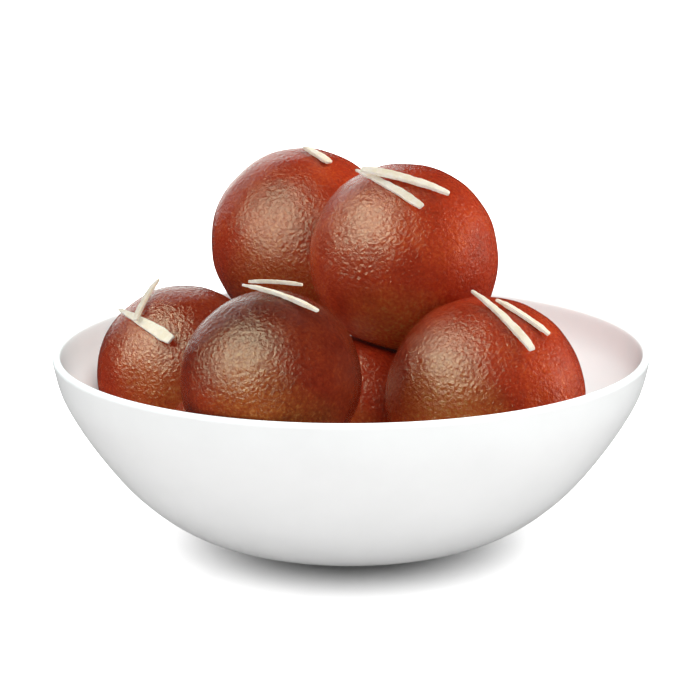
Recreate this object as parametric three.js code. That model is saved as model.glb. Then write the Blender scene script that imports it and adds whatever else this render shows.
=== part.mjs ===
// A bowl of gulab jamun: fried milk dumplings soaked in syrup, heaped in a white porcelain
// bowl and topped with blanched almond slivers. Millimetres, +Z up, the bowl's axis on Z,
// its foot on Z = 0 and its front towards -Y.

import * as THREE from 'three';
import { mergeVertices } from 'three/addons/utils/BufferGeometryUtils.js';

// ---- Driving dimensions ------------------------------------------------------------------

const GAP = 0.3; // free space kept between pieces that touch
const WELD_DISTANCE = 1e-5; // corners nearer than this are one corner

// Bowl: heights and radii of its outer wall, walked from the foot up to the rim.
const RIM_RADIUS = 71;
const BOWL_HEIGHT = 47.5;
const FOOT_RADIUS = 18;
const FOOT_RING_WIDTH = 4;
const FOOT_RECESS = 1;
const HEEL = { radius: 25.3, height: 1.9 };
const UNDERSIDE = { radius: 40.9, height: 6.7 };
const LOWER_WALL = { radius: 52.6, height: 15.2 };
const MIDDLE_WALL = { radius: 61.9, height: 26.6 };
const UPPER_WALL = { radius: 68.6, height: 38 };
const FLOOR_THICKNESS = 3.6;
const RIM_THICKNESS = 2;
const WALL_STEPS = 8;
const LIP_STEPS = 3;
const BOWL_SEGMENTS = 56;

// Dumplings: centre and radius of each, from the ones on show to the ones under the heap.
const DUMPLINGS = [
  { name: 'dumpling_top_left', centre: [-12, 38, 66], radius: 23.5, shown: true },
  { name: 'dumpling_top_right', centre: [12.7, 1, 69.2], radius: 22.75, shown: true },
  { name: 'dumpling_front', centre: [-17.8, -47, 51.6], radius: 20, shown: true },
  { name: 'dumpling_right', centre: [30.4, -29, 42.6], radius: 23.25, shown: true },
  { name: 'dumpling_left', centre: [-40.7, 12, 38.6], radius: 21.5, shown: true },
  { name: 'dumpling_under_middle', centre: [1.5, -3.5, 32], radius: 19.25, shown: false },
  { name: 'dumpling_under_right', centre: [34, 15, 30], radius: 19.25, shown: false },
  { name: 'dumpling_under_back', centre: [-11, 32, 26.5], radius: 18.25, shown: false },
  { name: 'dumpling_under_left', centre: [-27.5, -22, 26.5], radius: 18.25, shown: false },
];
const SHOWN_DETAIL = 6;
const UNDER_DETAIL = 4;
const PRESS_SOFTNESS = 0.25; // width of the rounded edge round a pressed spot
const WALL_SEARCH_STEPS = 20; // halvings in the search for the bowl's wall

// Soft lumps: slow waves over a dumpling's directions, each turned further on the next one.
const LUMP_SHARE = 0.012; // height of the lumps, as a share of the radius
const LUMP_SETBACK = 0.6; // keeps the lumps inside the stated radius
const LUMP_WAVES = [
  { way: [2.1, 1.7, 0], turn: 1.9, weight: 0.5 },
  { way: [0, 2.9, -2.3], turn: 2.7, weight: 0.4 },
  { way: [4.1, 0, 5.3], turn: -3.1, weight: 0.3 },
];

// Slivers: the dumpling that each lies on, where its middle rests (azimuth from the front
// towards +X, and elevation), the way it points seen from above, and its own sizes.
const SLIVER_THICKNESS = 0.9;
const SLIVER_STEPS = 6;
const SLIVER_BEND_RADIUS = 60;
const SLIVER_END_TAPER = 0.35;
const SLIVER_TAPER_POWER = 6;
const SLIVERS = [
  { name: 'sliver_top_left', on: 'dumpling_top_left', azimuth: 34, elevation: 74, yaw: -48,
    length: 10, widths: [1.4, 2.6], raise: 0, pitch: 0 },
  { name: 'sliver_top_right_low', on: 'dumpling_top_right', azimuth: -19, elevation: 57, yaw: -45,
    length: 22, widths: [0.8, 2.4], raise: 0, pitch: 0 },
  { name: 'sliver_top_right_high', on: 'dumpling_top_right', azimuth: 0, elevation: 62, yaw: -17,
    length: 21.5, widths: [2.3, 1.8], raise: 0.6, pitch: 5 },
  { name: 'sliver_front_low', on: 'dumpling_front', azimuth: 38, elevation: 78, yaw: -30,
    length: 19.5, widths: [0.6, 1.5], raise: 0, pitch: 0 },
  { name: 'sliver_front_high', on: 'dumpling_front', azimuth: 162, elevation: 79, yaw: -7,
    length: 12, widths: [0.5, 2.6], raise: 1.2, pitch: 0 },
  { name: 'sliver_right_low', on: 'dumpling_right', azimuth: 18, elevation: 64, yaw: -53,
    length: 23, widths: [0.8, 2.4], raise: 0, pitch: 0 },
  { name: 'sliver_right_high', on: 'dumpling_right', azimuth: 45, elevation: 62, yaw: -28,
    length: 14.5, widths: [1, 1.6], raise: 0, pitch: 0 },
  { name: 'sliver_left_low', on: 'dumpling_left', azimuth: -35, elevation: 45, yaw: -47,
    length: 20.5, widths: [0.9, 3.6], raise: 0, pitch: 0 },
  { name: 'sliver_left_high', on: 'dumpling_left', azimuth: -54, elevation: 62, yaw: -107,
    length: 17, widths: [1, 1.6], raise: 0.8, pitch: 0 },
];

// ---- Finishes ----------------------------------------------------------------------------

const PORCELAIN = { color: 0xf4f4f2, roughness: 0.12, metalness: 0 };
const SYRUPED_CRUST = { color: 0x96300f, roughness: 0.3, metalness: 0 };
const ALMOND = { color: 0xf3e6cb, roughness: 0.6, metalness: 0 };

// ---- Bowl --------------------------------------------------------------------------------

const toPoint = (station) => new THREE.Vector2(station.radius, station.height);

const outerWall = new THREE.SplineCurve([
  new THREE.Vector2(FOOT_RADIUS, 0),
  ...[HEEL, UNDERSIDE, LOWER_WALL, MIDDLE_WALL, UPPER_WALL].map(toPoint),
  new THREE.Vector2(RIM_RADIUS, BOWL_HEIGHT - RIM_THICKNESS / 2),
]);

// The face that lies `clearance` inside the wall: the inner face itself at a clearance of 0.
function innerWall(clearance, steps) {
  const points = [];
  for (let i = steps; i >= 0; i--) {
    const along = i / steps;
    const outer = outerWall.getPoint(along);
    const tangent = outerWall.getTangent(along);
    const depth = THREE.MathUtils.lerp(FLOOR_THICKNESS, RIM_THICKNESS, along) + clearance;
    points.push(new THREE.Vector2(outer.x - tangent.y * depth, outer.y + tangent.x * depth));
  }
  return points.filter((point) => point.y > FLOOR_THICKNESS + clearance);
}

function lip() {
  const top = outerWall.getPoint(1);
  const tangent = outerWall.getTangent(1);
  const centre = new THREE.Vector2(top.x - (tangent.y * RIM_THICKNESS) / 2,
    top.y + (tangent.x * RIM_THICKNESS) / 2);
  const start = Math.atan2(top.y - centre.y, top.x - centre.x);
  const points = [];
  for (let i = 1; i < LIP_STEPS; i++) {
    const angle = start + (Math.PI * i) / LIP_STEPS;
    points.push(new THREE.Vector2(
      centre.x + (Math.cos(angle) * RIM_THICKNESS) / 2,
      centre.y + (Math.sin(angle) * RIM_THICKNESS) / 2,
    ));
  }
  return points;
}

function bowlGeometry() {
  const ringInner = FOOT_RADIUS - FOOT_RING_WIDTH;
  const profile = [
    new THREE.Vector2(0, FOOT_RECESS),
    new THREE.Vector2(ringInner, FOOT_RECESS),
    new THREE.Vector2(ringInner, 0),
    ...outerWall.getPoints(WALL_STEPS),
    ...lip(),
    ...innerWall(0, WALL_STEPS),
    new THREE.Vector2(0, FLOOR_THICKNESS),
  ];
  return new THREE.LatheGeometry(profile, BOWL_SEGMENTS).rotateX(Math.PI / 2);
}

// ---- Dumplings ---------------------------------------------------------------------------

const clearWall = innerWall(GAP, WALL_STEPS).reverse();

// Largest free radius at a height, just inside the bowl's inner face. Above the rim the
// face is carried on at its own slope, so that nothing bulges over the lip.
function freeRadius(height) {
  if (height < FLOOR_THICKNESS + GAP) return 0;
  if (height < clearWall[0].y) return clearWall[0].x;
  const above = clearWall.findIndex((point) => point.y >= height);
  const next = above < 0 ? clearWall.length - 1 : Math.max(above, 1);
  const [low, high] = [clearWall[next - 1], clearWall[next]];
  return low.x + ((high.x - low.x) * (height - low.y)) / (high.y - low.y);
}

// Distance from a dumpling's centre to the bowl along a direction, up to a limit.
function reachToBowl(centre, direction, limit) {
  const probe = new THREE.Vector3();
  const isFree = (distance) => {
    probe.copy(centre).addScaledVector(direction, distance);
    return Math.hypot(probe.x, probe.y) < freeRadius(probe.z);
  };
  if (isFree(limit)) return limit;
  let [inside, outside] = [0, limit];
  for (let i = 0; i < WALL_SEARCH_STEPS; i++) {
    const middle = (inside + outside) / 2;
    if (isFree(middle)) inside = middle;
    else outside = middle;
  }
  return inside;
}

// Smaller of two distances, with the corner between them rounded.
function softMinimum(a, b) {
  const nearer = Math.min(a, b);
  const further = Math.max(a, b);
  return nearer - PRESS_SOFTNESS * Math.log1p(Math.exp((nearer - further) / PRESS_SOFTNESS));
}

// Low soft lumps, different on each dumpling, that keep it from being a perfect ball.
function lumps(direction, seed) {
  const way = new THREE.Vector3();
  const swell = LUMP_WAVES.map((wave) =>
    wave.weight * Math.sin(way.set(...wave.way).dot(direction) + wave.turn * seed));
  return LUMP_SHARE * (swell.reduce((sum, part) => sum + part, 0) - LUMP_SETBACK);
}

const dumplings = DUMPLINGS.map((spec, index) => ({
  ...spec,
  seed: index + 1,
  centre: new THREE.Vector3(...spec.centre),
}));

// Flat spots where neighbours press on a dumpling: each spot's direction and its distance.
function pressedSpots(dumpling) {
  return dumplings.filter((other) => other !== dumpling).map((other) => {
    const towards = other.centre.clone().sub(dumpling.centre);
    const apart = towards.length();
    const share = (dumpling.radius ** 2 - other.radius ** 2) / (2 * apart);
    return { direction: towards.normalize(), distance: apart / 2 + share - GAP / 2 };
  });
}

// Distance from a dumpling's centre to its own surface along a direction.
function surfaceDistance(dumpling, direction) {
  let distance = dumpling.radius * (1 + lumps(direction, dumpling.seed));
  for (const spot of dumpling.spots) {
    const facing = direction.dot(spot.direction);
    if (facing > 0) distance = softMinimum(distance, spot.distance / facing);
  }
  return softMinimum(distance, reachToBowl(dumpling.centre, direction, dumpling.radius * 2));
}

for (const dumpling of dumplings) dumpling.spots = pressedSpots(dumpling);

function dumplingGeometry(dumpling) {
  const detail = dumpling.shown ? SHOWN_DETAIL : UNDER_DETAIL;
  const geometry = new THREE.IcosahedronGeometry(1, detail);
  const positions = geometry.attributes.position;
  const direction = new THREE.Vector3();
  for (let i = 0; i < positions.count; i++) {
    direction.fromBufferAttribute(positions, i).normalize();
    direction.multiplyScalar(surfaceDistance(dumpling, direction.clone()));
    positions.setXYZ(i, direction.x, direction.y, direction.z);
  }
  return geometry;
}

// ---- Slivers -----------------------------------------------------------------------------

// A flat split almond strip: a little bent, wider at one end than the other, with eased ends.
function sliverGeometry(spec) {
  const geometry = new THREE.BoxGeometry(spec.length, 1, SLIVER_THICKNESS, SLIVER_STEPS);
  const positions = geometry.attributes.position;
  for (let i = 0; i < positions.count; i++) {
    const along = positions.getX(i) / spec.length + 0.5;
    const ease = 1 - SLIVER_END_TAPER * Math.abs(2 * along - 1) ** SLIVER_TAPER_POWER;
    const drop = positions.getX(i) ** 2 / (2 * SLIVER_BEND_RADIUS);
    const width = THREE.MathUtils.lerp(spec.widths[0], spec.widths[1], along) * ease;
    positions.setY(i, positions.getY(i) * width);
    positions.setZ(i, positions.getZ(i) * ease - drop);
  }
  return geometry;
}

// Turn and place a sliver so that its middle rests on its dumpling, tangent to it.
function placeSliver(mesh, spec) {
  const dumpling = dumplings.find((candidate) => candidate.name === spec.on);
  const azimuth = THREE.MathUtils.degToRad(spec.azimuth);
  const elevation = THREE.MathUtils.degToRad(spec.elevation);
  const yaw = THREE.MathUtils.degToRad(spec.yaw);
  const outward = new THREE.Vector3(
    Math.sin(azimuth) * Math.cos(elevation),
    -Math.cos(azimuth) * Math.cos(elevation),
    Math.sin(elevation),
  );
  const along = new THREE.Vector3(Math.cos(yaw), Math.sin(yaw), 0);
  along.z = -along.dot(outward) / outward.z;
  along.normalize();
  const across = new THREE.Vector3().crossVectors(outward, along);
  mesh.matrix.makeBasis(along, across, outward);
  mesh.quaternion.setFromRotationMatrix(mesh.matrix);
  mesh.rotateY(THREE.MathUtils.degToRad(spec.pitch));
  const height = surfaceDistance(dumpling, outward) + GAP + SLIVER_THICKNESS / 2 + spec.raise;
  mesh.position.copy(dumpling.centre).addScaledVector(outward, height);
}

// ---- The whole part ----------------------------------------------------------------------

function namedMesh(name, geometry, finish) {
  geometry.deleteAttribute('normal');
  geometry.deleteAttribute('uv');
  const welded = mergeVertices(geometry, WELD_DISTANCE);
  const mesh = new THREE.Mesh(welded, new THREE.MeshStandardMaterial(finish));
  mesh.name = name;
  return mesh;
}

const part = new THREE.Group();
part.add(namedMesh('bowl', bowlGeometry(), PORCELAIN));

for (const dumpling of dumplings) {
  const mesh = namedMesh(dumpling.name, dumplingGeometry(dumpling), SYRUPED_CRUST);
  mesh.position.copy(dumpling.centre);
  part.add(mesh);
}

for (const spec of SLIVERS) {
  const mesh = namedMesh(spec.name, sliverGeometry(spec), ALMOND);
  placeSliver(mesh, spec);
  part.add(mesh);
}

export default part;
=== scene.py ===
"""Gulab jamun heaped in a white porcelain bowl and topped with almond slivers.

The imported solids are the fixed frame. Every piece here stands for one of them, made finer:
the bowl is turned smooth, the dumplings get their wrinkled, syruped skin, and the slivers
their cut edges. Metres, +Z up, the bowl's axis on Z and its front towards -Y.
"""

import logging
import math
from dataclasses import dataclass, field
from enum import Enum
from typing import Any

import bpy
import numpy as np
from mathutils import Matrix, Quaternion, Vector


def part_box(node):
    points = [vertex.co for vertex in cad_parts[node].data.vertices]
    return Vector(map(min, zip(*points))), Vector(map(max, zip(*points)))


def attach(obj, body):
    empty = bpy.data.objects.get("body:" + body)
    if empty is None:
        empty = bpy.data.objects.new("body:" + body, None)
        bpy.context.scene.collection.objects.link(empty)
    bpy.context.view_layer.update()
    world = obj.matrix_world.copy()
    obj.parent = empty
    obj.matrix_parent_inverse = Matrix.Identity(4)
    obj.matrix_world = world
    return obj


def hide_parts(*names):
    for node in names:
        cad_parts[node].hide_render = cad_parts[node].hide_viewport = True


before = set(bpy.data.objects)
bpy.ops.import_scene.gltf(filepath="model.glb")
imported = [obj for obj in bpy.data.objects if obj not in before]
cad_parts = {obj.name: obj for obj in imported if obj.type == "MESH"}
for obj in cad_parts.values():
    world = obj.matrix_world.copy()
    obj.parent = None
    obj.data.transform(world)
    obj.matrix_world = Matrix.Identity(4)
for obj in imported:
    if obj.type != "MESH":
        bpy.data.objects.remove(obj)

MM = 0.001
BODY = "root"
# painted reflection: the lighter, golden crust that each sweet gets on its front-lower side,
# where the bowl's reflection falls
REFLECTION_ATTRIBUTE = "pale"  # each point's share of pale crust
CRUST_SLOT = "syruped_crust"

CLOUD_ROUGHNESS = 0.55
FOLD_ROUGHNESS = 0.6
FOLD_SHARPNESS = 6.0
FOLD_DEPTH = 0.45  # as a share of the height of the skin between the folds
CELL_SOFTNESS = 0.6

log = logging.getLogger("gulab_jamun")

Colour = tuple[float, float, float]


# ---- Wiring of materials ----


class Group(Enum):
    """The effects that several finishes share."""

    MILLIMETRES = "Millimetres"
    MOTTLE = "Mottle"
    WRINKLE = "Wrinkle"


def place(tree: bpy.types.NodeTree, kind: str, sockets: dict[Any, Any] | None = None,
          **settings: Any) -> bpy.types.Node:
    """Add a node and set it up.

    Args:
        tree: Tree that gets the node.
        kind: Blender's name for the kind of node.
        sockets: Value or incoming socket for each input, by name or number.
        settings: The node's own settings.

    Returns:
        The new node.
    """
    made = tree.nodes.new(kind)
    for name, value in settings.items():
        setattr(made, name, value)
    for name, value in (sockets or {}).items():
        if isinstance(value, bpy.types.NodeSocket):
            tree.links.new(value, made.inputs[name])
        else:
            made.inputs[name].default_value = value
    return made


def ramp(tree: bpy.types.NodeTree, factor: bpy.types.NodeSocket,
         stops: list[tuple[float, Colour]]) -> bpy.types.NodeSocket:
    """Add a colour ramp.

    Args:
        tree: Tree that gets the ramp.
        factor: What drives it.
        stops: Place and colour of each stop, in order.

    Returns:
        The ramp's colour.
    """
    made = place(tree, "ShaderNodeValToRGB", {0: factor})
    elements = made.color_ramp.elements
    while len(elements) < len(stops):
        elements.new(1.0)
    for element, (where, colour) in zip(elements, stops):
        element.position = where
        element.color = (*colour, 1.0)
    return made.outputs[0]


def mix(tree: bpy.types.NodeTree, factor: Any, first: Any, second: Any) -> Any:
    """Mix two colours.

    Args:
        tree: Tree that gets the mix.
        factor: The second colour's share.
        first: Colour or incoming socket that shows where the factor is 0.
        second: Colour or incoming socket that shows where it is 1.

    Returns:
        The mixed colour's socket.
    """
    ends = [end if isinstance(end, bpy.types.NodeSocket) else (*end, 1.0)
            for end in (first, second)]
    made = place(tree, "ShaderNodeMix", {"Factor": factor, 6: ends[0], 7: ends[1]},
                 data_type="RGBA")
    return made.outputs[2]


def between(tree: bpy.types.NodeTree, share: Any, low: Any, high: Any) -> Any:
    """Mix two numbers.

    Args:
        tree: Tree that gets the mix.
        share: The second number's share.
        low: Number or incoming socket that holds where the share is 0.
        high: Number or incoming socket that holds where it is 1.

    Returns:
        The mixed number's socket.
    """
    made = place(tree, "ShaderNodeMix", {"Factor": share, 2: low, 3: high},
                 data_type="FLOAT")
    return made.outputs[0]


def math_node(tree: bpy.types.NodeTree, operation: str, *values: Any) -> bpy.types.NodeSocket:
    """Add a sum of numbers and hand back its result.

    Args:
        tree: Tree that gets the node.
        operation: What it works out.
        values: Its numbers or incoming sockets.

    Returns:
        The result's socket.
    """
    return place(tree, "ShaderNodeMath", dict(enumerate(values)), operation=operation).outputs[0]


def new_group(group: Group, inputs: dict[str, tuple[str, Any]],
              outputs: dict[str, str]) -> tuple[bpy.types.NodeTree, Any, Any]:
    """Start a shared group.

    Args:
        group: Which one.
        inputs: Kind of socket and default for each input.
        outputs: Kind of socket for each output.

    Returns:
        The tree, its inner inputs and its inner outputs.
    """
    tree = bpy.data.node_groups.new(group.value, "ShaderNodeTree")
    for name, (kind, default) in inputs.items():
        socket = tree.interface.new_socket(name, in_out="INPUT", socket_type=kind)
        if default is not None:
            socket.default_value = default
    for name, kind in outputs.items():
        tree.interface.new_socket(name, in_out="OUTPUT", socket_type=kind)
    source = tree.nodes.new("NodeGroupInput")
    result = tree.nodes.new("NodeGroupOutput")
    return tree, source.outputs, result.inputs


def build_millimetres() -> None:
    """Make the shared place in the piece's own frame, in millimetres."""
    tree, _, result = new_group(Group.MILLIMETRES, {}, {"Place": "NodeSocketVector"})
    spot = place(tree, "ShaderNodeTexCoord")
    grown = place(tree, "ShaderNodeVectorMath", {0: spot.outputs["Object"], "Scale": 1 / MM},
                  operation="SCALE")
    tree.links.new(grown.outputs[0], result["Place"])


def build_mottle() -> None:
    """Make the shared cloudy mottling, from 0 to 1."""
    tree, given, result = new_group(
        Group.MOTTLE,
        {"Place": ("NodeSocketVector", None), "Size": ("NodeSocketFloat", 10.0),
         "Detail": ("NodeSocketFloat", 3.0), "Contrast": ("NodeSocketFloat", 2.0)},
        {"Value": "NodeSocketFloat"},
    )
    fine = math_node(tree, "DIVIDE", 1.0, given["Size"])
    cloud = place(tree, "ShaderNodeTexNoise",
                  {"Vector": given["Place"], "Scale": fine, "Detail": given["Detail"],
                   "Roughness": CLOUD_ROUGHNESS})
    centred = math_node(tree, "SUBTRACT", cloud.outputs["Fac"], 0.5)
    spread = math_node(tree, "MULTIPLY_ADD", centred, given["Contrast"], 0.5)
    held = place(tree, "ShaderNodeClamp", {0: spread})
    tree.links.new(held.outputs[0], result["Value"])


def build_wrinkle() -> None:
    """Make the shared wrinkles: a skin of soft cells cut by sharp folds."""
    tree, given, result = new_group(
        Group.WRINKLE,
        {"Place": ("NodeSocketVector", None), "Size": ("NodeSocketFloat", 1.0),
         "Wander": ("NodeSocketFloat", 0.6)},
        {"Height": "NodeSocketFloat", "Crease": "NodeSocketFloat"},
    )
    fine = math_node(tree, "DIVIDE", 1.0, given["Size"])
    drift = place(tree, "ShaderNodeTexNoise",
                  {"Vector": given["Place"], "Scale": fine, "Detail": 2.0})
    offset = place(tree, "ShaderNodeVectorMath",
                   {0: drift.outputs["Color"], "Scale": given["Wander"]}, operation="SCALE")
    moved = place(tree, "ShaderNodeVectorMath", {0: given["Place"], 1: offset.outputs[0]},
                  operation="ADD")
    cells = place(tree, "ShaderNodeTexVoronoi",
                  {"Vector": moved.outputs[0], "Scale": fine, "Smoothness": CELL_SOFTNESS},
                  feature="SMOOTH_F1")
    ridge = place(tree, "ShaderNodeTexNoise",
                  {"Vector": moved.outputs[0], "Scale": fine, "Detail": 3.0,
                   "Roughness": FOLD_ROUGHNESS})
    fold = math_node(tree, "ABSOLUTE", math_node(tree, "SUBTRACT", ridge.outputs["Fac"], 0.5))
    crease = math_node(tree, "SUBTRACT", 1.0, math_node(tree, "MULTIPLY", fold, FOLD_SHARPNESS))
    crease = place(tree, "ShaderNodeClamp", {0: crease}).outputs[0]
    body = math_node(tree, "SUBTRACT", 1.0, cells.outputs["Distance"])
    height = math_node(tree, "SUBTRACT", body,
                       math_node(tree, "MULTIPLY", crease, FOLD_DEPTH))
    tree.links.new(height, result["Height"])
    tree.links.new(crease, result["Crease"])


def use(tree: bpy.types.NodeTree, group: Group,
        sockets: dict[str, Any] | None = None) -> bpy.types.Node:
    """Place a shared effect in a material.

    Args:
        tree: The material's tree.
        group: Which effect.
        sockets: Its values here.

    Returns:
        The group's node.
    """
    return place(tree, "ShaderNodeGroup", sockets,
                 node_tree=bpy.data.node_groups[group.value])


def blank_material(name: str) -> tuple[bpy.types.Material, bpy.types.NodeTree]:
    """Start a material with an empty tree.

    Args:
        name: What it is called.

    Returns:
        The material and its tree.
    """
    material = bpy.data.materials.new(name)
    material.use_nodes = True
    material.node_tree.nodes.clear()
    return material, material.node_tree


def mottle(tree: bpy.types.NodeTree, spot: Any, size: float, detail: float,
           contrast: float) -> Any:
    """Place the cloudy mottling in a material.

    Args:
        tree: The material's tree.
        spot: The place in millimetres.
        size: The clouds' size in millimetres.
        detail: How many finer layers they have.
        contrast: How strongly they part.

    Returns:
        The mottling's value.
    """
    return use(tree, Group.MOTTLE, {"Place": spot, "Size": size, "Detail": detail,
                                    "Contrast": contrast}).outputs["Value"]


def bump(tree: bpy.types.NodeTree, depth: float, height: Any) -> Any:
    """Turn a height in shares of a depth, in metres, into a bumped normal."""
    return place(tree, "ShaderNodeBump",
                 {"Strength": 1.0, "Distance": depth, "Height": height}).outputs[0]


def finish_with(tree: bpy.types.NodeTree, sockets: dict[str, Any]) -> None:
    """Close a material with its surface shader.

    Args:
        tree: The material's tree.
        sockets: Values and incoming sockets of the surface.
    """
    surface = place(tree, "ShaderNodeBsdfPrincipled", sockets)
    place(tree, "ShaderNodeOutputMaterial", {"Surface": surface.outputs[0]})


# ---- Finishes ----


@dataclass(frozen=True)
class CrustFinish:
    """Fried milk dough soaked in syrup: red-brown, finely wrinkled and wet."""

    name: str = CRUST_SLOT
    dark: Colour = (0.24, 0.02, 0.007)
    middle: Colour = (0.42, 0.042, 0.013)
    light: Colour = (0.58, 0.085, 0.02)
    # pale and its flecks are the colours of the painted reflection and its painted glints on the
    # front-lower side
    pale: Colour = (0.46, 0.145, 0.032)
    painted_glint: Colour = (0.5, 0.2, 0.06)
    stops: tuple[float, float, float] = (0.15, 0.6, 1.0)
    blotch_size: float = 12.0
    blotch_contrast: float = 1.1
    speckle_size: float = 0.8
    speckle_contrast: float = 2.6
    speckle_share: float = 0.3
    fleck_from: float = 0.7
    fleck_share: float = 0.6
    crease_shade: float = 0.12
    reflection_break: tuple[float, float] = (0.45, 0.9)
    wrinkle_size: float = 1.0
    wrinkle_wander: float = 0.5
    wrinkle_depth: float = 0.18 * MM
    roughness: tuple[float, float] = (0.04, 0.09)
    glow: float = 0.25
    glow_reach: tuple[float, float, float] = (1.0, 0.2, 0.07)
    glow_scale: float = 3 * MM

    def material(self) -> bpy.types.Material:
        """Mix the brown blotches, the painted reflection on the front-lower side with its painted
        glint flecks, and the wet wrinkles.

        Returns:
            The crust's material.
        """
        material, tree = blank_material(self.name)
        spot = use(tree, Group.MILLIMETRES).outputs["Place"]
        blotch = mottle(tree, spot, self.blotch_size, 4.0, self.blotch_contrast)
        speckle = mottle(tree, spot, self.speckle_size, 2.0, self.speckle_contrast)
        skin = use(tree, Group.WRINKLE, {"Place": spot, "Size": self.wrinkle_size,
                                         "Wander": self.wrinkle_wander})
        tone = math_node(tree, "MULTIPLY_ADD", speckle, self.speckle_share, blotch)
        tone = math_node(tree, "SUBTRACT", tone, math_node(
            tree, "MULTIPLY", skin.outputs["Crease"], self.crease_shade))
        base = ramp(tree, tone, list(zip(self.stops, (self.dark, self.middle, self.light))))
        # painted reflection: lighter crust on each sweet's front-lower side, broken up by the
        # speckle
        reflection_side = place(tree, "ShaderNodeAttribute", attribute_name=REFLECTION_ATTRIBUTE).outputs["Fac"]
        broken = math_node(tree, "MULTIPLY", reflection_side, math_node(
            tree, "MULTIPLY_ADD", speckle, self.reflection_break[1], self.reflection_break[0]))
        colour = mix(tree, broken, base, self.pale)
        # painted glints: bright specks inside the painted reflection
        most = (self.fleck_share,) * 3
        painted_glint = math_node(tree, "MULTIPLY", broken, ramp(
            tree, speckle, [(self.fleck_from, (0.0, 0.0, 0.0)), (1.0, most)]))
        colour = mix(tree, painted_glint, colour, self.painted_glint)
        rough = place(tree, "ShaderNodeMapRange",
                      {"Value": speckle, "To Min": self.roughness[0],
                       "To Max": self.roughness[1]}).outputs[0]
        finish_with(tree, {
            "Base Color": colour,
            "Roughness": rough,
            "Subsurface Weight": self.glow,
            "Subsurface Radius": self.glow_reach,
            "Subsurface Scale": self.glow_scale,
            "Normal": bump(tree, self.wrinkle_depth, skin.outputs["Height"]),
        })
        return material


@dataclass(frozen=True)
class GlazeFinish:
    """White porcelain glaze, with a bare ring under the foot."""

    name: str = "porcelain_glaze"
    white: Colour = (0.9, 0.9, 0.895)
    shade: Colour = (0.87, 0.87, 0.865)
    bare: Colour = (0.74, 0.71, 0.66)
    bare_below: tuple[float, float] = (0.1, 0.35)
    roughness: float = 0.3
    gleam: float = 0.35
    bare_roughness: float = 0.75
    ripple_size: float = 14.0
    ripple_contrast: float = 2.0
    ripple_depth: float = 0.04 * MM

    def material(self) -> bpy.types.Material:
        """Lay the glaze over the clay and leave the foot's ring bare.

        Returns:
            The glaze's material.
        """
        material, tree = blank_material(self.name)
        spot = use(tree, Group.MILLIMETRES).outputs["Place"]
        cloud = mottle(tree, spot, self.ripple_size, 3.0, self.ripple_contrast)
        height = place(tree, "ShaderNodeSeparateXYZ", {0: spot}).outputs["Z"]
        bare = place(tree, "ShaderNodeMapRange",
                     {"Value": height, "From Min": self.bare_below[1],
                      "From Max": self.bare_below[0]}).outputs[0]
        white = ramp(tree, cloud, [(0.0, self.shade), (1.0, self.white)])
        colour = mix(tree, bare, white, self.bare)
        rough = place(tree, "ShaderNodeMapRange",
                      {"Value": bare, "To Min": self.roughness,
                       "To Max": self.bare_roughness}).outputs[0]
        finish_with(tree, {"Base Color": colour, "Roughness": rough,
                           "Specular IOR Level": self.gleam,
                           "Normal": bump(tree, self.ripple_depth, cloud)})
        return material


@dataclass(frozen=True)
class AlmondFinish:
    """Blanched almond: cream, matt, a little darker in its dry patches."""

    name: str = "almond"
    cream: Colour = (0.93, 0.91, 0.85)
    dry: Colour = (0.84, 0.79, 0.68)
    cream_from: float = 0.55
    patch_size: float = 2.5
    patch_contrast: float = 2.5
    grain_size: float = 0.5
    grain_wander: float = 0.3
    grain_shade: float = 0.25
    grain_depth: float = 0.03 * MM
    roughness: float = 0.45
    glow: float = 0.15
    glow_reach: tuple[float, float, float] = (1.0, 0.7, 0.4)
    glow_scale: float = 1 * MM

    def material(self) -> bpy.types.Material:
        """Mix cream and dry patches, with a fine grain.

        Returns:
            The almond's material.
        """
        material, tree = blank_material(self.name)
        spot = use(tree, Group.MILLIMETRES).outputs["Place"]
        cloud = mottle(tree, spot, self.patch_size, 4.0, self.patch_contrast)
        grain = use(tree, Group.WRINKLE, {"Place": spot, "Size": self.grain_size,
                                          "Wander": self.grain_wander})
        tone = math_node(tree, "SUBTRACT", cloud, math_node(
            tree, "MULTIPLY", grain.outputs["Crease"], self.grain_shade))
        colour = ramp(tree, tone, [(0.0, self.dry), (self.cream_from, self.cream)])
        finish_with(tree, {"Base Color": colour, "Roughness": self.roughness,
                           "Subsurface Weight": self.glow,
                           "Subsurface Radius": self.glow_reach,
                           "Subsurface Scale": self.glow_scale,
                           "Normal": bump(tree, self.grain_depth,
                                          grain.outputs["Height"])})
        return material


@dataclass(frozen=True)
class FloorFinish:
    """A pale sheet, held back in what it returns so that the ware keeps its shading."""

    name: str = "pale_floor"
    white: Colour = (0.95, 0.95, 0.95)
    returned: Colour = (0.45, 0.45, 0.45)
    cloud_size: float = 300.0
    cloud_shade: float = 0.99
    roughness: float = 0.9

    def material(self) -> bpy.types.Material:
        """Mix a plain pale sheet with the faintest cloudiness.

        Returns:
            The floor's material.
        """
        material, tree = blank_material(self.name)
        spot = use(tree, Group.MILLIMETRES).outputs["Place"]
        cloud = mottle(tree, spot, self.cloud_size, 2.0, 1.0)
        dimmer = tuple(self.cloud_shade * part for part in self.white)
        colour = ramp(tree, cloud, [(0.0, dimmer), (1.0, self.white)])
        rays = place(tree, "ShaderNodeLightPath")
        seen = mix(tree, rays.outputs["Is Camera Ray"], self.returned, colour)
        finish_with(tree, {"Base Color": seen, "Roughness": self.roughness,
                           "Specular IOR Level": 0.0})
        return material


# ---- Meshes ----


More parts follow.
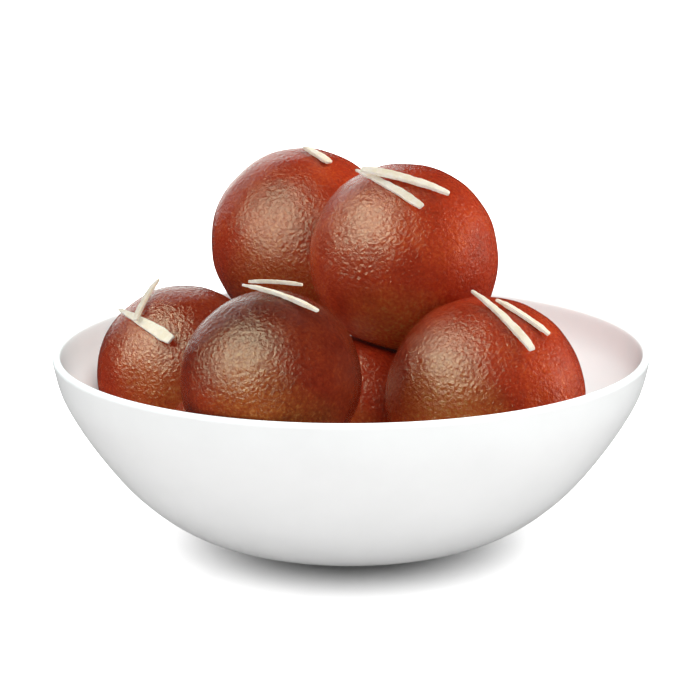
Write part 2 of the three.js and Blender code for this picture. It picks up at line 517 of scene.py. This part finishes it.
def mesh_piece(name: str, points: np.ndarray, faces: list[Any] | np.ndarray,
               material: bpy.types.Material) -> bpy.types.Object:
    """Make a smooth-shaded object of points and faces.

    Args:
        name: The piece's name.
        points: Its points, in metres.
        faces: Its faces, by point number.
        material: Its finish.

    Returns:
        The new object.
    """
    mesh = bpy.data.meshes.new(name)
    corners = faces.tolist() if isinstance(faces, np.ndarray) else faces
    mesh.from_pydata(np.asarray(points, float).tolist(), [], corners)
    mesh.validate()
    mesh.polygons.foreach_set("use_smooth", [True] * len(mesh.polygons))
    mesh.materials.append(material)
    made = bpy.data.objects.new(name, mesh)
    bpy.context.scene.collection.objects.link(made)
    return made


def stand_for(piece: bpy.types.Object, node: str) -> None:
    """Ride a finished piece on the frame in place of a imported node.

    Args:
        piece: The piece.
        node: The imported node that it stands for.
    """
    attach(piece, BODY)
    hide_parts(node)
    log.info("%s: %d faces", piece.name, len(piece.data.polygons))


def node_points(node: str) -> np.ndarray:
    """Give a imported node's separate points.

    Args:
        node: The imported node's name.

    Returns:
        Its points, in metres, each place once.
    """
    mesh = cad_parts[node].data
    flat = np.zeros(len(mesh.vertices) * 3)
    mesh.vertices.foreach_get("co", flat)
    return np.unique(flat.reshape(-1, 3).round(7), axis=0)


def waves(points: np.ndarray, length: float, count: int,
          random: np.random.Generator) -> np.ndarray:
    """Add up seeded waves of one length into a smooth field of about unit height.

    Args:
        points: Where it is read.
        length: The waves' length, in the points' unit.
        count: How many waves.
        random: Seeded source of numbers.

    Returns:
        The field's value at each point.
    """
    total = np.zeros(len(points))
    for _ in range(count):
        along = random.normal(size=3)
        along *= 2 * math.pi / (length * random.uniform(0.75, 1.35) * np.linalg.norm(along))
        total += np.sin(points @ along + random.uniform(0, 2 * math.pi))
    return total * math.sqrt(2 / count)


# ---- Bowl ----


@dataclass
class Bowl:
    """A thin porcelain bowl on a low foot ring, turned round its axis.

    The wall's stations are given by radius and height in millimetres, from the foot up.
    """

    finish: GlazeFinish
    node: str = "bowl"
    slot: str = "porcelain"
    foot_radius: float = 18 * MM
    foot_ring: float = 4 * MM
    foot_recess: float = 1 * MM
    wall: tuple[tuple[float, float], ...] = ((25.3, 1.9), (40.9, 6.7), (52.6, 15.2),
                                             (61.9, 26.6), (68.6, 38.0))
    floor_thickness: float = 3.6 * MM
    rim_thickness: float = 2 * MM
    wall_steps: int = 60
    lip_steps: int = 12
    segments: int = 200
    edge: float = 0.35 * MM
    short_step: float = 1e-4
    stations: np.ndarray = field(init=False)
    inside: np.ndarray = field(init=False)

    def __post_init__(self) -> None:
        """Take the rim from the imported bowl's box, and walk the wall's inner face."""
        low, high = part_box(self.node)
        rim = ((high.x - low.x) / 2, high.z - low.z - self.rim_thickness / 2)
        walls = [(radius * MM, height * MM) for radius, height in self.wall]
        self.stations = np.array([(self.foot_radius, 0.0), *walls, rim])
        self.inside = self.face_inside(0.0)

    def outer(self, along: np.ndarray) -> np.ndarray:
        """Walk the outer face from the foot to the rim.

        Args:
            along: Shares of the walk, from 0 to 1.

        Returns:
            Radius and height at each share.
        """
        last = len(self.stations) - 1
        place_on = np.clip(along, 0, 1) * last
        start = np.minimum(place_on.astype(int), last - 1)
        t = (place_on - start)[:, None]
        p0, p1, p2, p3 = (self.stations[np.clip(start + k, 0, last)] for k in (-1, 0, 1, 2))
        v0, v1 = (p2 - p0) / 2, (p3 - p1) / 2
        return ((2 * p1 - 2 * p2 + v0 + v1) * t**3
                + (-3 * p1 + 3 * p2 - 2 * v0 - v1) * t**2 + v0 * t + p1)

    def slope(self, along: np.ndarray) -> np.ndarray:
        """Give the outer face's unit tangent at each share of the walk."""
        run = self.outer(along + self.short_step) - self.outer(along - self.short_step)
        return run / np.linalg.norm(run, axis=1)[:, None]

    def face_inside(self, clearance: float) -> np.ndarray:
        """Walk a face that lies inside the wall, from the rim down to the floor.

        Args:
            clearance: How far inside the inner face it lies.

        Returns:
            Radius and height of each point.
        """
        along = np.linspace(1, 0, self.wall_steps + 1)
        outer, slope = self.outer(along), self.slope(along)
        depth = (self.floor_thickness
                 + (self.rim_thickness - self.floor_thickness) * along + clearance)
        face = outer + np.stack([-slope[:, 1] * depth, slope[:, 0] * depth], axis=1)
        return face[face[:, 1] > self.floor_thickness + clearance]

    def lip(self) -> np.ndarray:
        """Round the rim over from the outer face to the inner one.

        Returns:
            Radius and height of each point.
        """
        top, slope = self.outer(np.array([1.0]))[0], self.slope(np.array([1.0]))[0]
        inwards = np.array([-slope[1], slope[0]])
        centre = top + inwards * self.rim_thickness / 2
        turn = np.linspace(0, math.pi, self.lip_steps + 1)[1:-1]
        reach = self.rim_thickness / 2
        return (centre - inwards * np.cos(turn)[:, None] * reach
                + slope * np.sin(turn)[:, None] * reach)

    def profile(self) -> np.ndarray:
        """Join the foot, the outer face, the lip and the inner face into one line.

        Returns:
            Radius and height of each point, from the axis below to the axis inside.
        """
        inner = self.foot_radius - self.foot_ring
        foot = np.array([
            (0, self.foot_recess), (inner / 2, self.foot_recess),
            (inner - self.edge, self.foot_recess), (inner, self.foot_recess - self.edge),
            (inner, self.edge), (inner + self.edge, 0),
        ])
        floor = np.array([(self.inside[-1, 0] / 2, self.floor_thickness),
                          (0, self.floor_thickness)])
        outer = self.outer(np.linspace(0, 1, self.wall_steps + 1))
        return np.concatenate([foot, outer, self.lip(), self.inside, floor])

    def free_radius(self, height: np.ndarray, clearance: float) -> np.ndarray:
        """Give the room inside the bowl at each height; above the rim its slope goes on.

        Args:
            height: Heights, in metres.
            clearance: Room that is kept free along the inner face.

        Returns:
            The free radius at each height.
        """
        face = self.face_inside(clearance)[::-1]
        above = face[-1, 0] + (height - face[-1, 1]) * (
            (face[-1, 0] - face[-2, 0]) / (face[-1, 1] - face[-2, 1]))
        room = np.interp(height, face[:, 1], face[:, 0])
        room = np.where(height > face[-1, 1], above, room)
        return np.where(height < self.floor_thickness + clearance, 0.0, room)

    def build(self) -> bpy.types.Object:
        """Turn the profile round the axis and dress it.

        Returns:
            The finished piece.
        """
        profile = self.profile()
        turn = np.linspace(0, 2 * math.pi, self.segments, endpoint=False)
        points = [(0.0, 0.0, profile[0, 1]), (0.0, 0.0, profile[-1, 1])]
        for radius, height in profile[1:-1]:
            points += [(radius * math.cos(a), radius * math.sin(a), height) for a in turn]
        faces: list[tuple[int, ...]] = []
        rings = len(profile) - 2
        for j in range(self.segments):
            k = (j + 1) % self.segments
            faces.append((0, 2 + k, 2 + j))
            last = 2 + (rings - 1) * self.segments
            faces.append((1, last + j, last + k))
            for i in range(rings - 1):
                row, above = 2 + i * self.segments, 2 + (i + 1) * self.segments
                faces.append((row + j, row + k, above + k, above + j))
        piece = mesh_piece("porcelain_bowl", np.array(points), faces, self.finish.material())
        piece.visible_glossy = False
        stand_for(piece, self.node)
        return piece


# ---- Dumplings ----


@dataclass
class Dumpling:
    """One sweet: a soft ball, pressed flat where it meets its neighbours and the bowl."""

    node: str
    seed: int
    frequency: int
    lump_height: float = 0.012
    lump_setback: float = 0.6
    fit_rounds: int = 40
    fit_slack: float = 0.15 * MM
    centre: np.ndarray = field(init=False)
    radius: float = field(init=False)

    def __post_init__(self) -> None:
        """Find the ball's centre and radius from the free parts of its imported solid."""
        points = node_points(self.node)
        centre = points.mean(axis=0)
        radius = float(np.linalg.norm(points - centre, axis=1).max())
        for _ in range(self.fit_rounds):
            reach = points - centre
            distance = np.linalg.norm(reach, axis=1)
            towards = reach / distance[:, None]
            swell = 1 + self.lumps(towards)
            error = distance - radius * swell
            free = error > np.median(error) - self.fit_slack
            lines = np.concatenate([towards[free], swell[free, None]], axis=1)
            change = np.linalg.lstsq(lines, error[free], rcond=None)[0]
            centre, radius = centre + change[:3], radius + float(change[3])
        self.centre, self.radius = centre, radius

    def lumps(self, towards: np.ndarray) -> np.ndarray:
        """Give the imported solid's own low lumps, as a share of the radius.

        Args:
            towards: Unit directions from the centre.

        Returns:
            The share that is added in each direction.
        """
        x, y, z = towards.T
        broad = np.sin(2.1 * x + 1.7 * y + self.seed * 1.9)
        cross = np.sin(2.9 * y - 2.3 * z + self.seed * 2.7)
        small = np.sin(5.3 * z + 4.1 * x - self.seed * 3.1)
        return self.lump_height * (0.5 * broad + 0.4 * cross + 0.3 * small
                                   - self.lump_setback)


@dataclass
class Heap:
    """All the dumplings, shown ones first, as they lie in the bowl."""

    bowl: Bowl
    finish: CrustFinish
    # painted shade: the front sweet gets a darker copy of the crust, standing in for the shade
    # that falls on it
    painted_shade_finish: CrustFinish
    painted_shade: tuple[str, ...] = ("front",)
    shown: tuple[str, ...] = ("top_left", "top_right", "front", "right", "left")
    under: tuple[str, ...] = ("under_middle", "under_right", "under_back", "under_left")
    shown_frequency: int = 80
    under_frequency: int = 32
    gap: float = 0.08 * MM
    softness: float = 0.35 * MM
    dimple_length: float = 9 * MM
    dimple_height: float = 0.12 * MM
    wrinkle_length: float = 1.6 * MM
    wrinkle_height: float = 0.014 * MM
    wrinkle_width: float = 0.45
    waves_each: int = 28
    search_rounds: int = 18
    grazing: float = 1e-3
    # painted reflection: which side of each sweet, front and below, gets the lighter crust, and
    # how its edge wanders
    reflection_side: tuple[float, float, float] = (-0.15, -0.75, -0.65)
    pale_from: float = 0.7
    pale_width: float = 0.6
    pale_sway: float = 0.25
    pale_drift: float = 0.22
    pale_drift_length: float = 1.6
    pale_drift_waves: int = 12
    pale_seed: int = 50
    dumplings: list[Dumpling] = field(init=False)

    def __post_init__(self) -> None:
        """Find every dumpling in the frame."""
        names = [*self.shown, *self.under]
        self.dumplings = [
            Dumpling(f"dumpling_{name}", index + 1,
                     self.shown_frequency if name in self.shown else self.under_frequency)
            for index, name in enumerate(names)
        ]
        for ball in self.dumplings:
            log.info("%s: centre %s mm, radius %.2f mm", ball.node,
                     (ball.centre / MM).round(2).tolist(), ball.radius / MM)

    def soft_minimum(self, a: np.ndarray, b: np.ndarray) -> np.ndarray:
        """Give the smaller of two distances, with the corner between them rounded."""
        return np.minimum(a, b) - self.softness * np.log1p(np.exp(-np.abs(a - b) / self.softness))

    def reach(self, ball: Dumpling, towards: np.ndarray) -> np.ndarray:
        """Find how far each direction runs before it meets the bowl's inner face.

        Args:
            ball: The dumpling that it starts from.
            towards: Unit directions.

        Returns:
            The free distance, up to twice the radius.
        """
        limit = 2 * ball.radius
        inside, outside = np.zeros(len(towards)), np.full(len(towards), limit)
        for _ in range(self.search_rounds):
            middle = (inside + outside) / 2
            probe = ball.centre + towards * middle[:, None]
            free = np.hypot(probe[:, 0], probe[:, 1]) < self.bowl.free_radius(
                probe[:, 2], self.gap)
            inside, outside = np.where(free, middle, inside), np.where(free, outside, middle)
        return inside

    def surface(self, ball: Dumpling, towards: np.ndarray) -> np.ndarray:
        """Find the dumpling's own surface along each direction.

        Args:
            ball: The dumpling.
            towards: Unit directions.

        Returns:
            Distance from its centre to its skin.
        """
        distance = ball.radius * (1 + ball.lumps(towards))
        for other in self.dumplings:
            if other is ball:
                continue
            way = other.centre - ball.centre
            apart = float(np.linalg.norm(way))
            share = (ball.radius**2 - other.radius**2) / (2 * apart)
            facing = towards @ (way / apart)
            flat = (apart / 2 + share - self.gap / 2) / np.maximum(facing, self.grazing)
            pressed = self.soft_minimum(distance, flat)
            distance = np.where(facing > self.grazing, pressed, distance)
        return self.soft_minimum(distance, self.reach(ball, towards))

    def skin(self, ball: Dumpling, points: np.ndarray) -> np.ndarray:
        """Give the height of the skin's dimples and wrinkles at each point.

        Args:
            ball: The dumpling.
            points: Points on its smooth surface.

        Returns:
            How far the skin stands off it.
        """
        random = np.random.default_rng(ball.seed)
        dimples = waves(points, self.dimple_length, self.waves_each, random)
        folds = waves(points, self.wrinkle_length, self.waves_each, random)
        return (self.dimple_height * (dimples - 1) / 2
                - self.wrinkle_height * np.exp(-(folds / self.wrinkle_width) ** 2))

    def reflection_share(self, ball: Dumpling, towards: np.ndarray) -> np.ndarray:
        """Say how much painted reflection, a lighter crust on the front-lower side, each
        direction gets.

        Args:
            ball: The dumpling.
            towards: Unit directions.

        Returns:
            Shares of painted reflection, from 0 to 1.
        """
        random = np.random.default_rng(self.pale_seed + ball.seed)
        side = np.array(self.reflection_side) + self.pale_sway * random.normal(size=3)
        side /= np.linalg.norm(side)
        drift = waves(towards, self.pale_drift_length, self.pale_drift_waves, random)
        within = (towards @ side - self.pale_from) / self.pale_width
        return np.clip(within + self.pale_drift * drift, 0, 1)

    def build(self) -> list[bpy.types.Object]:
        """Make every dumpling as its own piece.

        Returns:
            The finished pieces, shown ones first.
        """
        crust = self.finish.material()
        # the darker copy of the crust is painted shade for the front sweet
        painted_shade_crust = self.painted_shade_finish.material()
        pieces = []
        for ball in self.dumplings:
            name = ball.node.removeprefix("dumpling_")
            towards, faces = geodesic(ball.frequency)
            distance = self.surface(ball, towards)
            smooth = ball.centre + towards * distance[:, None]
            points = smooth + towards * self.skin(ball, smooth)[:, None]
            piece = mesh_piece(f"sweet_{name}", points, faces,
                               painted_shade_crust if name in self.painted_shade else crust)
            shade = piece.data.attributes.new(REFLECTION_ATTRIBUTE, "FLOAT", "POINT")
            shade.data.foreach_set("value", self.reflection_share(ball, towards).astype(np.float32))
            stand_for(piece, ball.node)
            pieces.append(piece)
        return pieces


def geodesic(frequency: int) -> tuple[np.ndarray, np.ndarray]:
    """Split an icosahedron's faces evenly and push the points out to a unit ball.

    Args:
        frequency: How many parts each edge is split into.

    Returns:
        Unit directions, and triangles by point number.
    """
    golden = (1 + math.sqrt(5)) / 2
    corners = np.array([(-1, golden, 0), (1, golden, 0), (-1, -golden, 0), (1, -golden, 0),
                        (0, -1, golden), (0, 1, golden), (0, -1, -golden), (0, 1, -golden),
                        (golden, 0, -1), (golden, 0, 1), (-golden, 0, -1), (-golden, 0, 1)])
    sides = [(0, 11, 5), (0, 5, 1), (0, 1, 7), (0, 7, 10), (0, 10, 11), (1, 5, 9), (5, 11, 4),
             (11, 10, 2), (10, 7, 6), (7, 1, 8), (3, 9, 4), (3, 4, 2), (3, 2, 6), (3, 6, 8),
             (3, 8, 9), (4, 9, 5), (2, 4, 11), (6, 2, 10), (8, 6, 7), (9, 8, 1)]
    grid = [(i, j) for i in range(frequency + 1) for j in range(frequency + 1 - i)]
    number = {key: index for index, key in enumerate(grid)}
    shares = np.array([(frequency - i - j, i, j) for i, j in grid]) / frequency
    small = [(number[i, j], number[i + 1, j], number[i, j + 1])
             for i in range(frequency) for j in range(frequency - i)]
    small += [(number[i + 1, j], number[i + 1, j + 1], number[i, j + 1])
              for i in range(frequency - 1) for j in range(frequency - 1 - i)]
    points = np.concatenate([shares @ corners[list(side)] for side in sides])
    faces = np.concatenate([np.array(small) + k * len(grid) for k in range(len(sides))])
    points /= np.linalg.norm(points, axis=1)[:, None]
    _, first, back = np.unique(points.round(6), axis=0, return_index=True, return_inverse=True)
    return points[first], back.reshape(-1)[faces]


# ---- Slivers ----


@dataclass
class Sliver:
    """A split almond strip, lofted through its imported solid's own rings."""

    node: str
    seed: int
    slot: str = "almond"
    rings: int = 56
    corner_steps: int = 3
    corner_share: float = 0.14
    ring_corners: int = 4
    even_share: float = 0.5
    sink: float = 0.22 * MM
    end_share: float = 0.02
    end_shrink: float = 0.12
    waver: float = 0.05 * MM
    waver_length: float = 3.5 * MM
    waver_waves: int = 16
    chip_wide: float = 0.018 * MM
    chip_tall: float = 0.015 * MM
    chip_length: float = 0.9 * MM
    chip_waves: int = 20
    first_seed: int = 100

    def frame_rings(self) -> tuple[np.ndarray, np.ndarray, np.ndarray]:
        """Find the middle and the two half-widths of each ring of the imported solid.

        Returns:
            Middles, half-widths across and half-thicknesses, one row for each ring.
        """
        points = node_points(self.node)
        middle = points.mean(axis=0)
        _, _, axes = np.linalg.svd(points - middle)
        order = np.argsort((points - middle) @ axes[0])
        rings = points[order].reshape(-1, self.ring_corners, 3)
        middles = rings.mean(axis=1)
        across, thick = [], []
        for ring, centre in zip(rings, middles):
            arms = ring - centre
            across.append((arms * np.sign(arms @ axes[1])[:, None]).mean(axis=0))
            thick.append((arms * np.sign(arms @ axes[2])[:, None]).mean(axis=0))
        across, thick = np.array(across), np.array(thick)
        if thick[:, 2].mean() < 0:
            thick = -thick
        return middles, across, thick

    def section(self) -> np.ndarray:
        """Round the corners of a box section, two units wide and two high.

        Returns:
            Its ring of points.
        """
        corners = []
        reach = self.corner_share
        for k, (x, y) in enumerate([(1, 1), (-1, 1), (-1, -1), (1, -1)]):
            for turn in np.linspace(k * math.pi / 2, (k + 1) * math.pi / 2,
                                    self.corner_steps + 1):
                corners.append((x * (1 - reach) + reach * math.cos(turn),
                                y * (1 - reach) + reach * math.sin(turn)))
        return np.array(corners)

    def strip(self, section: np.ndarray) -> np.ndarray:
        """Loft the section along the rings, round the ends and roughen the cut sides.

        Args:
            section: The section's ring of points.

        Returns:
            The strip's points, ring after ring.
        """
        random = np.random.default_rng(self.first_seed + self.seed)
        rows = self.frame_rings()
        at = np.linspace(0, 1, len(rows[0]))
        even = np.linspace(0, 1, self.rings)
        eased = (1 - np.cos(even * math.pi)) / 2
        along = eased * (1 - self.even_share) + even * self.even_share
        centre, side, up = (
            np.stack([np.interp(along, at, row[:, k]) for k in range(3)], axis=1)
            for row in rows)
        normal = up / np.linalg.norm(up, axis=1)[:, None]
        across = side / np.linalg.norm(side, axis=1)[:, None]
        from_end = np.minimum(along, 1 - along) / self.end_share
        shrink = (1 - self.end_shrink * np.clip(1 - from_end, 0, 1) ** 2)[:, None, None]
        wide, tall = section[None, :, :1], section[None, :, 1:]
        points = ((centre - normal * self.sink)[:, None]
                  + side[:, None] * wide * shrink
                  + up[:, None] * tall * shrink).reshape(-1, 3)
        push = waves(points, self.waver_length, self.waver_waves, random)
        chips = waves(points, self.chip_length, self.chip_waves, random)
        sideways = (push * self.waver + chips * self.chip_wide)[:, None]
        upwards = (chips * self.chip_tall)[:, None]
        return (points + (across[:, None] * wide).reshape(-1, 3) * sideways
                + (normal[:, None] * tall).reshape(-1, 3) * upwards)

    def build(self, material: bpy.types.Material) -> bpy.types.Object:
        """Skin the strip and close its two ends.

        Args:
            material: The almond finish.

        Returns:
            The finished piece.
        """
        section = self.section()
        points = self.strip(section)
        count = len(section)
        last = (self.rings - 1) * count
        ends = np.array([points[:count].mean(axis=0), points[last:].mean(axis=0)])
        points = np.concatenate([points, ends])
        faces: list[tuple[int, ...]] = []
        for j in range(count):
            k = (j + 1) % count
            faces += [(row + j, row + k, row + count + k, row + count + j)
                      for row in range(0, last, count)]
            faces.append((len(points) - 2, k, j))
            faces.append((len(points) - 1, last + j, last + k))
        piece = mesh_piece(self.node.replace("sliver", "almond"), points, faces, material)
        outward(piece)
        stand_for(piece, self.node)
        return piece


def outward(piece: bpy.types.Object) -> None:
    """Turn a closed piece's faces outward if they look inward.

    Args:
        piece: The piece.
    """
    mesh = piece.data
    volume = 0.0
    mesh.calc_loop_triangles()
    for tri in mesh.loop_triangles:
        a, b, c = (mesh.vertices[i].co for i in tri.vertices)
        volume += a.dot(b.cross(c))
    if volume < 0:
        mesh.flip_normals()


@dataclass
class Garnish:
    """Every almond sliver on the heap."""

    finish: AlmondFinish
    names: tuple[str, ...] = ("top_left", "top_right_low", "top_right_high", "front_low",
                              "front_high", "right_low", "right_high", "left_low",
                              "left_high")

    def build(self) -> list[bpy.types.Object]:
        """Make each sliver as its own piece.

        Returns:
            The finished pieces.
        """
        material = self.finish.material()
        return [Sliver(f"sliver_{name}", index).build(material)
                for index, name in enumerate(self.names)]


# ---- Stage ----


class Lit(Enum):
    """The pieces that a lamp lights."""

    NEAR = "the sweets whose gleam comes from in front"
    REST = "the other sweets and the slivers"
    SHOWN = "all food but the sweets under the heap"
    CLEAR = "the shown food that stands clear of the shade"
    BACK = "the shown food behind the front sweet"
    HEAP = "all food that stands clear of the shade"
    UNDER = "the sweets under the heap"
    WARE = "the bowl"
    FLOOR = "the floor"


@dataclass(frozen=True)
class Lamp:
    """An oval soft box that looks at the heap, from in front at azimuth 0, right at 90."""

    name: str
    lights: Lit
    azimuth: float
    elevation: float
    distance: float
    size: tuple[float, float]
    radiance: float
    colour: Colour = (1.0, 1.0, 1.0)
    diffuse: bool = True
    glossy: bool = True

    def hang(self, middle: Vector, pieces: list[bpy.types.Object]) -> None:
        """Hang the lamp.

        Args:
            middle: What it looks at.
            pieces: The pieces that it lights.
        """
        data = bpy.data.lights.new(self.name, "AREA")
        data.shape = "ELLIPSE"
        data.size, data.size_y = self.size
        face = math.pi * self.size[0] * self.size[1] / 4
        data.energy = self.radiance * math.pi * face
        data.color = self.colour
        made = bpy.data.objects.new(self.name, data)
        bpy.context.scene.collection.objects.link(made)
        made.location = on_dome(middle, self.azimuth, self.elevation, self.distance)
        made.rotation_mode = "QUATERNION"
        made.rotation_quaternion = (middle - made.location).to_track_quat("-Z", "Y")
        made.visible_camera = False
        made.visible_diffuse = self.diffuse
        made.visible_glossy = self.glossy
        lit = bpy.data.collections.new(f"lit_by_{self.name}")
        for piece in pieces:
            lit.objects.link(piece)
        made.light_linking.receiver_collection = lit


def on_dome(middle: Vector, azimuth: float, elevation: float, distance: float) -> Vector:
    """Find a point round the heap.

    Args:
        middle: The dome's middle.
        azimuth: Way round it in degrees, 0 in front and 90 to the right.
        elevation: Height over the level in degrees.
        distance: How far out.

    Returns:
        The point.
    """
    a, e = math.radians(azimuth), math.radians(elevation)
    out = Vector((math.sin(a) * math.cos(e), -math.cos(a) * math.cos(e), math.sin(e)))
    return middle + out * distance


WARM_WHITE = (1.0, 0.96, 0.64)
LAMPS = (
    Lamp("key_front", Lit.NEAR, -45, 39, 0.6, (0.84, 0.76), 9.0, WARM_WHITE, diffuse=False),
    Lamp("key_side", Lit.REST, -66, 46, 0.6, (0.74, 0.66), 11.0, WARM_WHITE, diffuse=False),
    Lamp("edge", Lit.SHOWN, -165, 12, 1.0, (0.6, 0.6), 1.6, (1.0, 1.0, 0.95), diffuse=False),
    Lamp("glint", Lit.CLEAR, 104, 12, 1.0, (0.34, 0.5), 6.0, (1.0, 0.84, 0.68), diffuse=False),
    Lamp("left", Lit.BACK, -50, 25, 1.2, (1.2, 1.2), 0.6, (1.0, 0.85, 0.7), glossy=False),
    Lamp("right", Lit.HEAP, 118, 36, 1.2, (1.2, 1.2), 5.4, (1.0, 0.9, 0.68), glossy=False),
    Lamp("under", Lit.UNDER, 20, 30, 1.0, (0.8, 0.8), 2.6, (1.0, 0.7, 0.7), glossy=False),
    Lamp("sky", Lit.WARE, 0, 90, 1.0, (1.4, 1.4), 3.8, (0.87, 1.0, 1.0)),
    Lamp("window", Lit.WARE, 25, 62, 1.0, (1.5, 1.5), 0.9, (0.92, 1.0, 1.0)),
    Lamp("ware", Lit.WARE, 75, 0, 1.3, (1.3, 1.3), 0.9, glossy=False),
    Lamp("table", Lit.FLOOR, 180, 86, 1.2, (9.0, 9.0), 2.7, glossy=False),
)


@dataclass
class Stage:
    """The pale floor, the soft studio lights and the camera."""

    floor: FloorFinish
    food: list[bpy.types.Object]
    ware: list[bpy.types.Object]
    keyed_from_front: tuple[str, ...] = ("sweet_front", "sweet_top_left")
    shaded: tuple[str, ...] = ("sweet_front", "sweet_left")
    floor_reach: float = 4.0
    floor_sides: int = 64
    floor_drop: float = 0.1 * MM
    room_on_matt: float = 0.5
    room_on_gloss: float = 0.03
    eye_distance: float = 0.5737
    eye_height_deg: float = 13.6
    eye_roll_deg: float = -0.25
    lens: float = 123.43
    film_width: float = 36.0
    shift: tuple[float, float] = (-0.0017, -0.0034)
    sight: tuple[float, float] = (0.01, 50.0)
    rim_height: float = 47.5 * MM

    @property
    def middle(self) -> Vector:
        """The middle of the bowl's rim, which the camera and lamps look at."""
        return Vector((0.0, 0.0, self.rim_height))

    def build_floor(self) -> bpy.types.Object:
        """Lay the floor under the bowl.

        Returns:
            The floor.
        """
        turn = np.linspace(0, 2 * math.pi, self.floor_sides, endpoint=False)
        points = np.stack([np.cos(turn) * self.floor_reach, np.sin(turn) * self.floor_reach,
                           np.full(self.floor_sides, -self.floor_drop)], axis=1)
        floor = mesh_piece("pale_floor", points, [tuple(range(self.floor_sides))],
                           self.floor.material())
        floor.visible_glossy = False
        return floor

    def build_lights(self, floor: bpy.types.Object) -> None:
        """Hang the lamps.

        Args:
            floor: The floor, which has a lamp of its own.
        """
        near = [piece for piece in self.food if piece.name in self.keyed_from_front]
        under = [piece for piece in self.food if piece.name.startswith("sweet_under")]
        shown = [piece for piece in self.food if piece not in under]
        heap = [piece for piece in self.food if piece.name not in self.shaded]
        lit = {
            Lit.NEAR: near,
            Lit.REST: [piece for piece in self.food if piece not in near],
            Lit.SHOWN: shown,
            Lit.CLEAR: [piece for piece in shown if piece in heap],
            Lit.BACK: [piece for piece in shown if piece.name != "sweet_front"],
            Lit.HEAP: heap,
            Lit.UNDER: under,
            Lit.WARE: self.ware,
            Lit.FLOOR: [floor],
        }
        for lamp in LAMPS:
            lamp.hang(self.middle, lit[lamp.lights])

    def build_room(self) -> None:
        """Light the room white, dimmer on matt surfaces and nearly dark in glossy ones."""
        world = bpy.data.worlds.new("studio")
        bpy.context.scene.world = world
        world.use_nodes = True
        tree = world.node_tree
        tree.nodes.clear()
        rays = place(tree, "ShaderNodeLightPath").outputs
        lit = between(tree, rays["Is Glossy Ray"], self.room_on_matt, self.room_on_gloss)
        strength = between(tree, rays["Is Camera Ray"], lit, 1.0)
        glow = place(tree, "ShaderNodeBackground",
                     {"Color": (1.0, 1.0, 1.0, 1.0), "Strength": strength})
        place(tree, "ShaderNodeOutputWorld", {"Surface": glow.outputs[0]})

    def build_camera(self) -> None:
        """Stand the camera in front of the bowl, a little above the rim."""
        data = bpy.data.cameras.new("camera")
        data.lens = self.lens
        data.sensor_width = self.film_width
        data.shift_x, data.shift_y = self.shift
        data.clip_start, data.clip_end = self.sight
        camera = bpy.data.objects.new("camera", data)
        bpy.context.scene.collection.objects.link(camera)
        camera.location = on_dome(self.middle, 0, self.eye_height_deg, self.eye_distance)
        look = (self.middle - camera.location).to_track_quat("-Z", "Y")
        roll = Quaternion((0, 0, 1), math.radians(self.eye_roll_deg))
        camera.rotation_mode = "QUATERNION"
        camera.rotation_quaternion = look @ roll
        bpy.context.scene.camera = camera

    def build(self) -> None:
        """Set the stage."""
        self.build_lights(self.build_floor())
        self.build_room()
        self.build_camera()
        bpy.context.scene.view_settings.view_transform = "Standard"
        bpy.context.scene.view_settings.look = "None"


# ---- The whole scene ----


def main() -> None:
    """Build the bowl, the heap, the garnish and the stage."""
    logging.basicConfig(level=logging.INFO, format="%(message)s")
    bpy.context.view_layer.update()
    build_millimetres()
    build_mottle()
    build_wrinkle()
    bowl = Bowl(GlazeFinish())
    ware = [bowl.build()]
    # a darker copy of the crust: painted shade for the front sweet
    painted_shade = CrustFinish("painted_shade_crust", dark=(0.15, 0.011, 0.005),
                          middle=(0.27, 0.03, 0.01), light=(0.42, 0.062, 0.016),
                          pale=(0.38, 0.105, 0.02))
    food = Heap(bowl, CrustFinish(), painted_shade).build() + Garnish(AlmondFinish()).build()
    Stage(FloorFinish(), food, ware).build()


if __name__ == "__main__":
    main()
